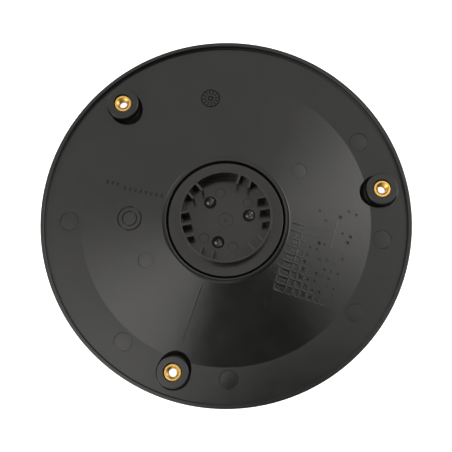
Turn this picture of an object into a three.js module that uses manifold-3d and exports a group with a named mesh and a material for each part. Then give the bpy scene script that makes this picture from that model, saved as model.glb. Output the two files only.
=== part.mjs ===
// Round floor-cleaning disc with a free-turning centre hub, in millimetres, +Z up.
// The origin is the centre of the circle that the rim stands on.
import * as THREE from 'three';
import { mergeVertices } from 'three/addons/utils/BufferGeometryUtils.js';
import Module from 'manifold-3d';

const wasm = await Module();
wasm.setup();

// ---- Driving dimensions: the disc ------------------------------------------
const DISC_R = 150;            // outer radius of the rim
const RIM_T = 3.1;             // thickness of the rim wall
const DECK_Z = 18;             // top of the flat outer deck
const WALL = 3.5;              // thickness of the deck and the cone
const LIP_H = 4.8;             // lip above the deck
const CONE_FOOT_R = 116.4;     // where the flat deck becomes the cone
const CONE_TOP_R = 53.2;       // where the cone meets the collar fillet
const CONE_RISE = 6;           // height of the cone over the deck
const COLLAR_H = 9.1;          // collar top over the deck
const COLLAR_R_IN = 47.94;     // mouth of the collar
const COLLAR_R_OUT = 49.7;
const HOUSING_R = 56;          // outside of the bearing housing, under the cone
const HOUSING_Z = 4;           // lower end of the bearing housing
const STOP_R = 44.6;           // inner edge of the shoulder that the bearing stops against
const STOP_T = 1.7;
const STIFFENERS = 12;         // radial stiffeners under the deck
const STIFFENER_T = 2.4;
const STIFFENER_Z = 9.5;       // lower edge of the stiffeners
const ROOT_FILLET = 3;         // under the deck, at the rim and at the housing

// ---- Driving dimensions: the threaded bosses --------------------------------
const BOSSES = 3;
const FIRST_BOSS_DEG = 11.1;
const BOSS_CIRCLE_R = 128.7;
const BOSS_R = 13;
const BOSS_H = 7.8;            // over the deck
const BOSS_BOTTOM_Z = 12;
const POCKET_R = 19.2;         // flat clearing round each boss, cut into the foot of the cone
const INSERT_R = 6.6;
const INSERT_L = 9.5;
const INSERT_SUNK = 0.6;       // insert top below the boss face
const INSERT_BORE_R = 3.35;    // crest radius of an M8 thread
const INSERT_HOLE_R = 7;
const THROUGH_R = 5.5;         // hole through the rest of the boss

// ---- Driving dimensions: the bearing, 80 x 100 x 10 -------------------------
const BEARING_BORE_R = 40;
const BEARING_OUTER_R = 50;
const BEARING_W = 10;
const BEARING_Z = 8.6;         // lower face
const PITCH_R = 45;
const BALL_R = 2.75;
const BALL_PLAY = 0.45;        // round each ball, in the races and in the cage
const BALLS = 16;
const RACE_T = 3.2;            // radial thickness of each race
const CAGE_T = 2;
const CAGE_H = 7.4;
const SHIELD_T = 0.7;
const GAP = 0.3;               // clearance between neighbouring pieces

// ---- Driving dimensions: the hub ---------------------------------------------
const TUBE_R_OUT = 37;
const TUBE_R_IN = 34.8;
const TUBE_H = 21.6;           // tube rim over the deck
const FLANGE_R = 46.3;
const FLANGE_H = 7.2;          // flange top over the deck
const FLANGE_T = 2.2;
const SHOULDER_R = 42;         // hub shoulder above the inner race
const SEAT_R = 39.7;           // hub seat inside the inner race
const SKIRT_R_IN = 36.3;
const FLOOR_H = 3.6;           // cup floor over the deck
const FLOOR_T = 3.4;
const WELL_R = 4.8;
const WELL_CIRCLE_R = 19.1;
const WELL_DEPTH = 4.8;
const WELL_WALL = 2.2;
const RIB_T = 2.2;
const RIB_PITCH = 9.6;         // sideways distance between parallel ribs
const RIB_INNER = 28;          // inner end of each rib, measured along its group
const RIB_TOP_DROP = 0.3;      // rib tops below the tube rim
const RIB_GROUPS = [           // angle from the first boss, and the ribs' places in the group
  { turn: 0, places: [-1, 0, 1] },
  { turn: 60, places: [-1, 0] },
  { turn: 120, places: [0, 1] },
  { turn: 180, places: [-1, 0, 1] },
  { turn: 240, places: [-1, 0] },
  { turn: 300, places: [0, 1] },
];

// ---- Driving dimensions: what holds the bearing from below ----------------------
const PLATE_R_OUT = 42.2;
const PLATE_R_IN = 12;
const PLATE_T = 2.3;
const POST_R = 5;
const POST_CIRCLE_R = 24;
const POST_TURN_DEG = 60;      // the posts lie midway between the wells
const PILOT_R = 2.2;
const SCREW_R = 1.9;
const SCREW_HEAD_R = 3.9;
const SCREW_HEAD_H = 2.1;
const SCREW_L = 10;
const SCREW_SOCKET_R = 1.5;
const SCREW_SOCKET_DEPTH = 1.4;
const CLIP_T = 2;              // internal retaining ring
const CLIP_R_IN = 47.4;
const CLIP_R_OUT = 52.2;
const CLIP_GROOVE_R = 52.6;
const CLIP_OPENING_DEG = 22;
const CLIP_EAR_R = 3;
const CLIP_EYE_R = 1.25;

const DISC_SEGMENTS = 72;
const HUB_SEGMENTS = 48;
const BEARING_SEGMENTS = 40;
const BOSS_SEGMENTS = 32;
const SMALL_SEGMENTS = 20;
const PILOT_SEGMENTS = 12;

const lipZ = DECK_Z + LIP_H;
const coneTopZ = DECK_Z + CONE_RISE;
const collarZ = DECK_Z + COLLAR_H;
const bearingTopZ = BEARING_Z + BEARING_W;
const stopZ = bearingTopZ + GAP;
const clipTopZ = BEARING_Z - 0.5;
const plateTopZ = BEARING_Z - GAP;
const plateZ = plateTopZ - PLATE_T;
const floorZ = DECK_Z + FLOOR_H;
const rimTopZ = DECK_Z + TUBE_H;
const flangeZ = DECK_Z + FLANGE_H;
const insertTopZ = DECK_Z + BOSS_H - INSERT_SUNK;

// Radius of the circle, number of copies and angle of the first one.
const BOSS_PLACES = [BOSS_CIRCLE_R, BOSSES, FIRST_BOSS_DEG];
const WELL_PLACES = [WELL_CIRCLE_R, BOSSES, FIRST_BOSS_DEG];
const POST_PLACES = [POST_CIRCLE_R, BOSSES, FIRST_BOSS_DEG + POST_TURN_DEG];

// ---- Materials -------------------------------------------------------------------
const blackPlastic = new THREE.MeshStandardMaterial({ color: 0x2c2c2b, roughness: 0.42, metalness: 0 });
const hubPlastic = new THREE.MeshStandardMaterial({ color: 0x302f2d, roughness: 0.45, metalness: 0 });
const brass = new THREE.MeshStandardMaterial({ color: 0xd8aa4c, roughness: 0.3, metalness: 1 });
const steel = new THREE.MeshStandardMaterial({ color: 0xb9bcc0, roughness: 0.25, metalness: 1 });
const springSteel = new THREE.MeshStandardMaterial({ color: 0x4a4d50, roughness: 0.4, metalness: 1 });
const cagePlastic = new THREE.MeshStandardMaterial({ color: 0x8a6a3c, roughness: 0.5, metalness: 0 });
const sealRubber = new THREE.MeshStandardMaterial({ color: 0x1b1b1c, roughness: 0.7, metalness: 0 });

// ---- Geometry helpers --------------------------------------------------------------
function radians(degrees) {
  return THREE.MathUtils.degToRad(degrees);
}

// Revolves a counter-clockwise [radius, height] outline round +Z.
function revolve(outline, segments) {
  const points = outline.map(([r, z]) => new THREE.Vector2(r, z));
  if (outline[0][0] > 0) {
    points.push(points[0].clone());
  }
  const geometry = new THREE.LatheGeometry(points, segments);
  geometry.rotateX(Math.PI / 2);
  return geometry;
}

function cylinder(radius, z0, z1, segments = SMALL_SEGMENTS) {
  return revolve([[0, z0], [radius, z0], [radius, z1], [0, z1]], segments);
}

function ring(rIn, rOut, z0, z1, segments = BEARING_SEGMENTS) {
  return revolve([[rIn, z0], [rOut, z0], [rOut, z1], [rIn, z1]], segments);
}

// Points of an arc in the [radius, height] plane, without its two ends.
function arc(cr, cz, radius, fromDeg, toDeg, steps) {
  const points = [];
  for (let i = 1; i < steps; i += 1) {
    const t = radians(fromDeg + ((toDeg - fromDeg) * i) / steps);
    points.push([cr + radius * Math.cos(t), cz + radius * Math.sin(t)]);
  }
  return points;
}

// Extrudes a [radius, height] outline to a plate of the given thickness that stands on a
// half-plane through the Z axis.
function radialPlate(outline, thickness) {
  const shape = new THREE.Shape(outline.map(([r, z]) => new THREE.Vector2(r, z)));
  const geometry = new THREE.ExtrudeGeometry(shape, { depth: thickness, bevelEnabled: false });
  geometry.translate(0, 0, -thickness / 2);
  geometry.rotateX(Math.PI / 2);
  return geometry;
}

function toSolid(geometry) {
  const bare = geometry.clone();
  bare.deleteAttribute('normal');
  bare.deleteAttribute('uv');
  const merged = mergeVertices(bare, 1e-5);
  const index = Array.from(merged.index.array);
  const corners = [];
  for (let i = 0; i < index.length; i += 3) {
    const [a, b, c] = index.slice(i, i + 3);
    if (a !== b && b !== c && c !== a) {
      corners.push(a, b, c);
    }
  }
  return new wasm.Manifold(new wasm.Mesh({
    numProp: 3,
    vertProperties: new Float32Array(merged.attributes.position.array),
    triVerts: new Uint32Array(corners),
  }));
}

function toGeometry(solid) {
  const mesh = solid.getMesh();
  const geometry = new THREE.BufferGeometry();
  const positions = new Float32Array(mesh.vertProperties);
  geometry.setAttribute('position', new THREE.BufferAttribute(positions, 3));
  geometry.setIndex(new THREE.BufferAttribute(new Uint32Array(mesh.triVerts), 1));
  geometry.computeVertexNormals();
  return geometry;
}

function joined(base, geometries) {
  return geometries.reduce((solid, geometry) => solid.add(toSolid(geometry)), base);
}

function cut(base, geometries) {
  return geometries.reduce((solid, geometry) => solid.subtract(toSolid(geometry)), base);
}

// Copies of a geometry set out on a circle round the Z axis.
function onCircle(geometry, radius, count, firstDeg) {
  const copies = [];
  for (let i = 0; i < count; i += 1) {
    const turn = radians(firstDeg + (360 * i) / count);
    const copy = geometry.clone().rotateZ(turn);
    copies.push(copy.translate(radius * Math.cos(turn), radius * Math.sin(turn), 0));
  }
  return copies;
}

const model = new THREE.Group();

function addPart(name, geometry, material) {
  const mesh = new THREE.Mesh(geometry, material);
  mesh.name = name;
  model.add(mesh);
  return mesh;
}

// ---- The disc -----------------------------------------------------------------------
function coneUndersideZ(r) {
  const slope = CONE_RISE / (CONE_FOOT_R - CONE_TOP_R);
  return DECK_Z - WALL + slope * (CONE_FOOT_R - r);
}

function discOutline() {
  const rimIn = DISC_R - RIM_T;
  const lipRound = RIM_T / 2;
  const filletR = CONE_TOP_R - COLLAR_R_OUT;
  const seatR = BEARING_OUTER_R + GAP;
  const grooveTop = clipTopZ + GAP;
  const grooveBottom = clipTopZ - CLIP_T - GAP;
  return [
    [rimIn + 0.5, 0],
    [DISC_R - 0.8, 0],
    [DISC_R, 0.8],
    [DISC_R, lipZ - lipRound],
    ...arc(DISC_R - lipRound, lipZ - lipRound, lipRound, 0, 180, 3),
    [rimIn, lipZ - lipRound],
    [rimIn, DECK_Z],
    [CONE_FOOT_R, DECK_Z],
    [CONE_TOP_R, coneTopZ],
    ...arc(CONE_TOP_R, coneTopZ + filletR, filletR, 270, 180, 3),
    [COLLAR_R_OUT, collarZ - 0.6],
    [COLLAR_R_OUT - 0.5, collarZ],
    [COLLAR_R_IN + 0.4, collarZ],
    [COLLAR_R_IN, collarZ - 0.4],
    [COLLAR_R_IN, stopZ + STOP_T],
    [STOP_R, stopZ + STOP_T],
    [STOP_R, stopZ],
    [seatR, stopZ],
    [seatR, grooveTop],
    [CLIP_GROOVE_R, grooveTop],
    [CLIP_GROOVE_R, grooveBottom],
    [seatR, grooveBottom],
    [seatR, HOUSING_Z],
    [HOUSING_R, HOUSING_Z],
    [HOUSING_R, coneUndersideZ(HOUSING_R) - ROOT_FILLET],
    [HOUSING_R + ROOT_FILLET, coneUndersideZ(HOUSING_R + ROOT_FILLET)],
    [CONE_FOOT_R, DECK_Z - WALL],
    [rimIn - ROOT_FILLET, DECK_Z - WALL],
    [rimIn, DECK_Z - WALL - ROOT_FILLET],
    [rimIn, 0.5],
  ];
}

function stiffener() {
  const sunk = 0.6;
  return radialPlate([
    [HOUSING_R - 1, STIFFENER_Z],
    [DISC_R - RIM_T + 1, STIFFENER_Z],
    [DISC_R - RIM_T + 1, DECK_Z - WALL + sunk],
    [CONE_FOOT_R, DECK_Z - WALL + sunk],
    [HOUSING_R - 1, coneUndersideZ(HOUSING_R) + sunk],
  ], STIFFENER_T);
}

// The whole disc moulding as one solid.
function discMoulding() {
  const bossTop = DECK_Z + BOSS_H;
  const clearing = cylinder(POCKET_R, DECK_Z, bossTop, BOSS_SEGMENTS);
  const boss = revolve([
    [0, BOSS_BOTTOM_Z],
    [BOSS_R, BOSS_BOTTOM_Z],
    [BOSS_R, bossTop - 0.7],
    [BOSS_R - 0.7, bossTop],
    [0, bossTop],
  ], BOSS_SEGMENTS);
  const insertHole = cylinder(INSERT_HOLE_R, insertTopZ - INSERT_L - GAP, bossTop + 1);
  const throughHole = cylinder(THROUGH_R, STIFFENER_Z - 1, bossTop + 1);
  let solid = toSolid(revolve(discOutline(), DISC_SEGMENTS));
  const inRim = toSolid(cylinder(DISC_R - RIM_T, DECK_Z - 1, bossTop, DISC_SEGMENTS));
  for (const space of onCircle(clearing, ...BOSS_PLACES)) {
    solid = solid.subtract(toSolid(space).intersect(inRim));
  }
  solid = joined(solid, onCircle(stiffener(), 0, STIFFENERS, FIRST_BOSS_DEG));
  solid = joined(solid, onCircle(boss, ...BOSS_PLACES));
  solid = cut(solid, onCircle(insertHole, ...BOSS_PLACES));
  return cut(solid, onCircle(throughHole, ...BOSS_PLACES));
}

// The moulding is carried as simple neighbours a small gap apart: the deck and cone with their
// stiffeners, the rim, the collar with its bearing housing, and the bosses.
function addDisc() {
  const moulding = discMoulding();
  const low = -1;
  const high = collarZ + 1;
  const rimSplitR = DISC_R - RIM_T;
  const within = (geometry) => toGeometry(moulding.intersect(toSolid(geometry)));
  const deckZone = ring(HOUSING_R + GAP, rimSplitR - GAP / 2, low, high, DISC_SEGMENTS);
  const bossHole = cylinder(BOSS_R + GAP, low, high, BOSS_SEGMENTS);
  const deck = moulding.intersect(toSolid(deckZone));
  addPart('disc_shell', toGeometry(cut(deck, onCircle(bossHole, ...BOSS_PLACES))), blackPlastic);
  const rimZone = ring(rimSplitR + GAP / 2, DISC_R + 1, low, high, DISC_SEGMENTS);
  addPart('disc_rim', within(rimZone), blackPlastic);
  addPart('disc_collar', within(cylinder(HOUSING_R, low, high, DISC_SEGMENTS)), blackPlastic);
  onCircle(cylinder(BOSS_R, low, high, BOSS_SEGMENTS), ...BOSS_PLACES).forEach((zone, i) => {
    addPart(`disc_boss_${i + 1}`, within(zone), blackPlastic);
  });
}

addDisc();

// ---- Threaded inserts -----------------------------------------------------------------
function threadedInsert() {
  const top = insertTopZ;
  const bottom = top - INSERT_L;
  const waist = INSERT_R - 0.6;
  const waistHalf = 0.9;
  const middle = (top + bottom) / 2;
  return revolve([
    [INSERT_BORE_R + 0.7, bottom],
    [INSERT_R - 0.4, bottom],
    [INSERT_R, bottom + 0.4],
    [INSERT_R, middle - waistHalf],
    [waist, middle - waistHalf],
    [waist, middle + waistHalf],
    [INSERT_R, middle + waistHalf],
    [INSERT_R, top - 0.2],
    [INSERT_R - 0.2, top],
    [INSERT_BORE_R + 1.6, top],
    [INSERT_BORE_R, top - 1.2],
    [INSERT_BORE_R, bottom + 0.7],
  ], SMALL_SEGMENTS);
}

onCircle(threadedInsert(), ...BOSS_PLACES).forEach((geometry, i) => {
  addPart(`threaded_insert_${i + 1}`, geometry, brass);
});

// ---- Bearing ------------------------------------------------------------------------------
// The ball groove is a little wider than the ball; its outline runs from the lower to the
// upper edge of the race wall at radius wallR, bulging away from the pitch circle.
function grooveArc(wallR, side) {
  const middle = BEARING_Z + BEARING_W / 2;
  const radius = BALL_R + BALL_PLAY;
  const half = THREE.MathUtils.radToDeg(Math.acos(Math.abs(wallR - PITCH_R) / radius));
  const centre = side > 0 ? 0 : 180;
  const start = side > 0 ? -half : 180 + half;
  const end = centre + (centre - start);
  const edge = Math.sin(radians(half)) * radius;
  return [
    [wallR, middle - edge],
    ...arc(PITCH_R, middle, radius, start, end, 3),
    [wallR, middle + edge],
  ];
}

function outerRace() {
  const wallR = BEARING_OUTER_R - RACE_T;
  return revolve([
    [wallR, BEARING_Z],
    [BEARING_OUTER_R - 0.4, BEARING_Z],
    [BEARING_OUTER_R, BEARING_Z + 0.4],
    [BEARING_OUTER_R, bearingTopZ - 0.4],
    [BEARING_OUTER_R - 0.4, bearingTopZ],
    [wallR, bearingTopZ],
    ...grooveArc(wallR, 1).reverse(),
  ], BEARING_SEGMENTS);
}

function innerRace() {
  const wallR = BEARING_BORE_R + RACE_T;
  return revolve([
    [BEARING_BORE_R, BEARING_Z + 0.4],
    [BEARING_BORE_R + 0.4, BEARING_Z],
    [wallR, BEARING_Z],
    ...grooveArc(wallR, -1),
    [wallR, bearingTopZ],
    [BEARING_BORE_R + 0.4, bearingTopZ],
    [BEARING_BORE_R, bearingTopZ - 0.4],
  ], BEARING_SEGMENTS);
}

function bearingCage() {
  const middle = BEARING_Z + BEARING_W / 2;
  const halfT = CAGE_T / 2;
  const halfH = CAGE_H / 2;
  const band = ring(PITCH_R - halfT, PITCH_R + halfT, middle - halfH, middle + halfH);
  const pocketR = BALL_R + BALL_PLAY;
  const pocket = new THREE.CylinderGeometry(pocketR, pocketR, CAGE_T * 2, PILOT_SEGMENTS);
  pocket.rotateZ(Math.PI / 2).translate(0, 0, middle);
  return toGeometry(cut(toSolid(band), onCircle(pocket, PITCH_R, BALLS, 0)));
}

function shield(z0) {
  return ring(BEARING_BORE_R + RACE_T + GAP, BEARING_OUTER_R - RACE_T - GAP, z0, z0 + SHIELD_T);
}

addPart('bearing_outer_race', outerRace(), steel);
addPart('bearing_inner_race', innerRace(), steel);
addPart('bearing_shield_upper', shield(bearingTopZ - SHIELD_T - 0.2), sealRubber);
addPart('bearing_shield_lower', shield(BEARING_Z + 0.2), sealRubber);
addPart('bearing_cage', bearingCage(), cagePlastic);

const ball = new THREE.SphereGeometry(BALL_R, 8, 6).translate(0, 0, BEARING_Z + BEARING_W / 2);
onCircle(ball, PITCH_R, BALLS, 0).forEach((geometry, i) => {
  addPart(`bearing_ball_${String(i + 1).padStart(2, '0')}`, geometry, steel);
});

// ---- Retaining ring in the housing groove, under the outer race --------------------------------
function retainingRing() {
  const z0 = clipTopZ - CLIP_T;
  const half = radians(CLIP_OPENING_DEG / 2);
  const reach = CLIP_R_OUT * 1.5;
  const wedgeShape = new THREE.Shape([
    new THREE.Vector2(0, 0),
    new THREE.Vector2(reach * Math.cos(half), -reach * Math.sin(half)),
    new THREE.Vector2(reach * Math.cos(half), reach * Math.sin(half)),
  ]);
  const wedge = new THREE.ExtrudeGeometry(wedgeShape, { depth: CLIP_T + 2, bevelEnabled: false });
  wedge.translate(0, 0, z0 - 1);
  const ears = [-1, 1].map((side) => {
    const turn = side * (half + 0.07);
    const r = CLIP_R_IN - 0.8;
    return { x: r * Math.cos(turn), y: r * Math.sin(turn) };
  });
  let solid = toSolid(ring(CLIP_R_IN, CLIP_R_OUT, z0, clipTopZ)).subtract(toSolid(wedge));
  for (const { x, y } of ears) {
    const inGroove = toSolid(cylinder(CLIP_R_OUT, z0 - 1, clipTopZ + 1, HUB_SEGMENTS));
    const ear = toSolid(cylinder(CLIP_EAR_R, z0, clipTopZ).translate(x, y, 0)).intersect(inGroove);
    solid = solid.add(ear);
  }
  for (const { x, y } of ears) {
    const eye = cylinder(CLIP_EYE_R, z0 - 1, clipTopZ + 1, PILOT_SEGMENTS);
    solid = solid.subtract(toSolid(eye.translate(x, y, 0)));
  }
  return toGeometry(solid);
}

addPart('retaining_ring', retainingRing(), springSteel);

// ---- The hub -----------------------------------------------------------------------------------
function hubOutline() {
  const round = (TUBE_R_OUT - TUBE_R_IN) / 2;
  const fillet = 2.4;
  const skirtZ = BEARING_Z + GAP;
  return [
    [0, floorZ - FLOOR_T],
    [SKIRT_R_IN, floorZ - FLOOR_T],
    [SKIRT_R_IN, skirtZ],
    [SEAT_R, skirtZ],
    [SEAT_R, stopZ],
    [SHOULDER_R, stopZ],
    [SHOULDER_R, flangeZ - FLANGE_T],
    [FLANGE_R, flangeZ - FLANGE_T],
    [FLANGE_R, flangeZ - 0.3],
    [FLANGE_R - 0.3, flangeZ],
    [TUBE_R_OUT + fillet, flangeZ],
    ...arc(TUBE_R_OUT + fillet, flangeZ + fillet, fillet, 270, 180, 3),
    [TUBE_R_OUT, flangeZ + fillet],
    [TUBE_R_OUT, rimTopZ - round],
    ...arc(TUBE_R_OUT - round, rimTopZ - round, round, 0, 180, 4),
    [TUBE_R_IN, rimTopZ - round],
    [TUBE_R_IN, floorZ],
    [0, floorZ],
  ];
}

function cupRib(place) {
  const offset = place * RIB_PITCH;
  const wallMiddle = (TUBE_R_OUT + TUBE_R_IN) / 2;
  const outerEnd = Math.sqrt(wallMiddle ** 2 - offset ** 2);
  const height = rimTopZ - RIB_TOP_DROP - floorZ + 1;
  const geometry = new THREE.BoxGeometry(outerEnd - RIB_INNER, RIB_T, height);
  return geometry.translate((outerEnd + RIB_INNER) / 2, offset, floorZ - 1 + height / 2);
}

function hubCup() {
  const wellBottom = floorZ - WELL_DEPTH;
  const wellBoss = cylinder(WELL_R + WELL_WALL, wellBottom - WELL_WALL, floorZ - FLOOR_T + 1);
  const well = cylinder(WELL_R, wellBottom, floorZ + 1);
  const post = cylinder(POST_R, BEARING_Z + GAP, floorZ - FLOOR_T + 1);
  const pilot = cylinder(PILOT_R, BEARING_Z, floorZ - FLOOR_T - 1.2, PILOT_SEGMENTS);
  const ribs = RIB_GROUPS.flatMap(({ turn, places }) => places.map((place) => (
    cupRib(place).rotateZ(radians(FIRST_BOSS_DEG + turn)))));
  let solid = toSolid(revolve(hubOutline(), HUB_SEGMENTS));
  solid = joined(solid, ribs);
  solid = joined(solid, onCircle(wellBoss, ...WELL_PLACES));
  solid = joined(solid, onCircle(post, ...POST_PLACES));
  solid = cut(solid, onCircle(well, ...WELL_PLACES));
  solid = cut(solid, onCircle(pilot, ...POST_PLACES));
  return toGeometry(solid);
}

addPart('hub_cup', hubCup(), hubPlastic);

// ---- Retainer plate and its three countersunk screws --------------------------------------------
function retainerPlate() {
  const countersink = revolve([
    [0, plateZ - 1],
    [SCREW_HEAD_R + 0.4, plateZ - 1],
    [SCREW_HEAD_R + 0.4, plateZ],
    [SCREW_R + 0.5, plateZ + SCREW_HEAD_H],
    [SCREW_R + 0.5, plateTopZ + 1],
    [0, plateTopZ + 1],
  ], SMALL_SEGMENTS);
  const plate = toSolid(ring(PLATE_R_IN, PLATE_R_OUT, plateZ, plateTopZ));
  return toGeometry(cut(plate, onCircle(countersink, ...POST_PLACES)));
}

function hubScrew() {
  const body = toSolid(revolve([
    [0, plateZ],
    [SCREW_HEAD_R, plateZ],
    [SCREW_R, plateZ + SCREW_HEAD_H],
    [SCREW_R, plateZ + SCREW_L - 1],
    [SCREW_R - 0.9, plateZ + SCREW_L],
    [0, plateZ + SCREW_L],
  ], SMALL_SEGMENTS));
  const socket = toSolid(cylinder(SCREW_SOCKET_R, plateZ - 1, plateZ + SCREW_SOCKET_DEPTH, 6));
  return toGeometry(body.subtract(socket));
}

addPart('retainer_plate', retainerPlate(), steel);
onCircle(hubScrew(), ...POST_PLACES).forEach((geometry, i) => {
  addPart(`hub_screw_${i + 1}`, geometry, steel);
});

export default model;
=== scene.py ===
"""Looks of the round cleaning disc: detailed pieces, materials, light table and camera."""
import math
import random

import bmesh
import bpy
from mathutils import Matrix, Vector


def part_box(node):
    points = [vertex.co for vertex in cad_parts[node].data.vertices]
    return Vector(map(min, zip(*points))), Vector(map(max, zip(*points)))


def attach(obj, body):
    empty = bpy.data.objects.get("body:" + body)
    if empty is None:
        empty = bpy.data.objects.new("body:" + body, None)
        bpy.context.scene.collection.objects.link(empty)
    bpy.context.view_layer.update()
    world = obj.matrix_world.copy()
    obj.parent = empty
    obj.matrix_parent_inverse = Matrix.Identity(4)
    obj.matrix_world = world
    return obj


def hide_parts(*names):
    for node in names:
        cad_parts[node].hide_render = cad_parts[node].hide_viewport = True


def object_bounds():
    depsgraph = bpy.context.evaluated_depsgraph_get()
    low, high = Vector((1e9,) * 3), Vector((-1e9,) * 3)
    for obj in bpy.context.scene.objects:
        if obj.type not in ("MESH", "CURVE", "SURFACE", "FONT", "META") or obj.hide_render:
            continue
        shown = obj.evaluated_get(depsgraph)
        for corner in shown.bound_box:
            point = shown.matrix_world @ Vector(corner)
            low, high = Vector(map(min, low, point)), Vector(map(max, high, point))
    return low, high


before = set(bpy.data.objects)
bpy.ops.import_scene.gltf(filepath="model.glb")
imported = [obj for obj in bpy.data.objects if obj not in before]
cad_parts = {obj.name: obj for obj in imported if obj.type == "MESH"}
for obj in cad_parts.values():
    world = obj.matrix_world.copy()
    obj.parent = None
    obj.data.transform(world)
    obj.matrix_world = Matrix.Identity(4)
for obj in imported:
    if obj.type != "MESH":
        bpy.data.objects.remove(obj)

MM = 0.001
CAD_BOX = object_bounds()
rng = random.Random(7)

# ---- Sizes in millimetres, from the frame where it has them ------------------------------------
DISC_R = CAD_BOX[1].x / MM
HUB_TOP_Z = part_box("hub_cup")[1].z / MM
GAP = 0.3                   # clearance between neighbouring pieces
RIM_T = 3.1
DECK_Z = 18
WALL = 3.5
LIP_Z = DECK_Z + 4.8
STIFFENERS = 12
CONE_FOOT_R = 117.7
CONE_TOP_R = 53.2
CONE_TOP_Z = DECK_Z + 6
CONE_SLOPE = (CONE_TOP_Z - DECK_Z) / (CONE_FOOT_R - CONE_TOP_R)
COLLAR_R_IN = 47.94
COLLAR_R_OUT = 49.3
COLLAR_Z = DECK_Z + 9.1
SHOULDER_R = 44.6           # bore above the bearing's outer race
HOUSING_R = 56
HOUSING_LOW_Z = 4
FIRST_BOSS = math.radians(11.1)
BOSS_R = 13
BOSS_Z = DECK_Z + 7.8
POCKET_R = 19.2             # shallow clearing round a boss
POCKET_DEPTH = 0.12
GROOVE_DEPTH = 2.4          # sink on the hub's side of a boss
FLANGE_R = 46.3
FLANGE_Z = DECK_Z + 7.2
TUBE_R_OUT = 37
TUBE_R_IN = 35.2
FLOOR_Z = DECK_Z + 3.6
FLOOR_T = 3.4
RIB_SPACING = 9.6
RIB_T = 2.1
RIB_R_IN = 27.6
WELL_R = 4.8
WELL_CIRCLE_R = 19.1
POST_CIRCLE_R = 24
BALL_PITCH_R = 45
BALL_R = 2.75
MARK_FOOT = 0.06            # how far the foot of a raised mark goes below the surface

FINE = 288                  # steps round the disc
MEDIUM = 192                # steps round the hub and the bearing
ROUND = 96                  # steps round a boss and its insert
SMALL = 64                  # steps round wells and small rings
TINY = 48                   # steps round posts, screws and ejector marks
FINE_STEP = math.radians(9)     # turn of one step on a boss's fillets


def middle(node):
    """Middle of a node's box, in millimetres."""
    low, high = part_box(node)
    return (low + high) / 2 / MM


def span(node):
    """Lowest and highest Z of a node, in millimetres."""
    low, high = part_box(node)
    return low.z / MM, high.z / MM


def polar(radius, angle, z=0.0):
    return Vector((radius * math.cos(angle), radius * math.sin(angle), z))


def cone_z(radius):
    """Height of the upper side of the deck or cone at that radius."""
    return DECK_Z + max(0.0, CONE_FOOT_R - radius) * CONE_SLOPE


# ---- Mesh helpers: sizes in millimetres, meshes in the shared frame ----------------------------
def new_object(name, vertices, faces):
    mesh = bpy.data.meshes.new(name)
    mesh.from_pydata([Vector(v) * MM for v in vertices], [], faces)
    mesh.validate()
    piece = bpy.data.objects.new(name, mesh)
    bpy.context.scene.collection.objects.link(piece)
    return piece


def rounded(corners, step=math.radians(15)):
    """Closed outline from (r, z, fillet) corners, each corner rounded by its fillet radius."""
    straight = math.pi / 2 - 0.01       # half angle from which a corner counts as straight
    most = 0.49                         # share of a side that one fillet may take
    points = []
    count = len(corners)
    for i, corner in enumerate(corners):
        here = Vector(corner[:2])
        fillet = corner[2] if len(corner) > 2 else 0
        before = Vector(corners[i - 1][:2]) - here
        after = Vector(corners[(i + 1) % count][:2]) - here
        half = before.angle(after, math.pi) / 2
        if fillet <= 0 or half > straight:
            points.append(tuple(here))
            continue
        reach = min(fillet / math.tan(half), before.length * most, after.length * most)
        radius = reach * math.tan(half)
        inward = (before.normalized() + after.normalized()).normalized()
        centre = here + inward * (radius / math.sin(half))
        start = here + before.normalized() * reach - centre
        turn = start.angle_signed(here + after.normalized() * reach - centre, 0)
        steps = max(2, round(abs(turn) / step))
        for k in range(steps + 1):
            spin = Matrix.Rotation(-turn * k / steps, 2)
            points.append(tuple(centre + spin @ start))
    return points


def revolve(name, outline, segments, relief=None):
    """Solid of revolution about Z from a closed counter-clockwise (r, z) outline. relief(r, z,
    angle) gives the radius where the surface isn't round, such as on a thread or a knurl."""
    vertices = []
    rings = []
    for r, z in outline:
        ring = []
        if r < 1e-6:
            vertices.append((0, 0, z))
            ring = [len(vertices) - 1] * segments
        else:
            for k in range(segments):
                angle = 2 * math.pi * k / segments
                vertices.append(polar(relief(r, z, angle) if relief else r, angle, z))
                ring.append(len(vertices) - 1)
        rings.append(ring)
    faces = []
    for low, high in zip(rings, rings[1:] + rings[:1]):
        if low[0] == low[1] and high[0] == high[1]:
            continue
        for k in range(segments):
            n = (k + 1) % segments
            face = [low[k], low[n], high[n], high[k]]
            faces.append(list(dict.fromkeys(face)))
    return new_object(name, vertices, faces)


def rod(name, radius, z0, z1, segments):
    """Plain upright cylinder on the Z axis."""
    return revolve(name, [(0, z0), (radius, z0), (radius, z1), (0, z1)], segments)


def prism(name, outline, z0, z1):
    """Upright prism on a closed counter-clockwise (x, y) outline."""
    count = len(outline)
    vertices = [(x, y, z0) for x, y in outline] + [(x, y, z1) for x, y in outline]
    faces = [list(reversed(range(count))), list(range(count, 2 * count))]
    for i in range(count):
        n = (i + 1) % count
        faces.append([i, n, count + n, count + i])
    return new_object(name, vertices, faces)


def move(piece, matrix):
    """Moves a piece's vertices, in millimetres, and leaves its object at the origin."""
    scaled = matrix.copy()
    scaled.translation = matrix.translation * MM
    piece.data.transform(scaled)
    return piece


def placed(piece, location, angle=0.0):
    """Turns a piece about the Z axis, then moves it to a place."""
    return move(piece, Matrix.Translation(location) @ Matrix.Rotation(angle, 4, "Z"))


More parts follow.
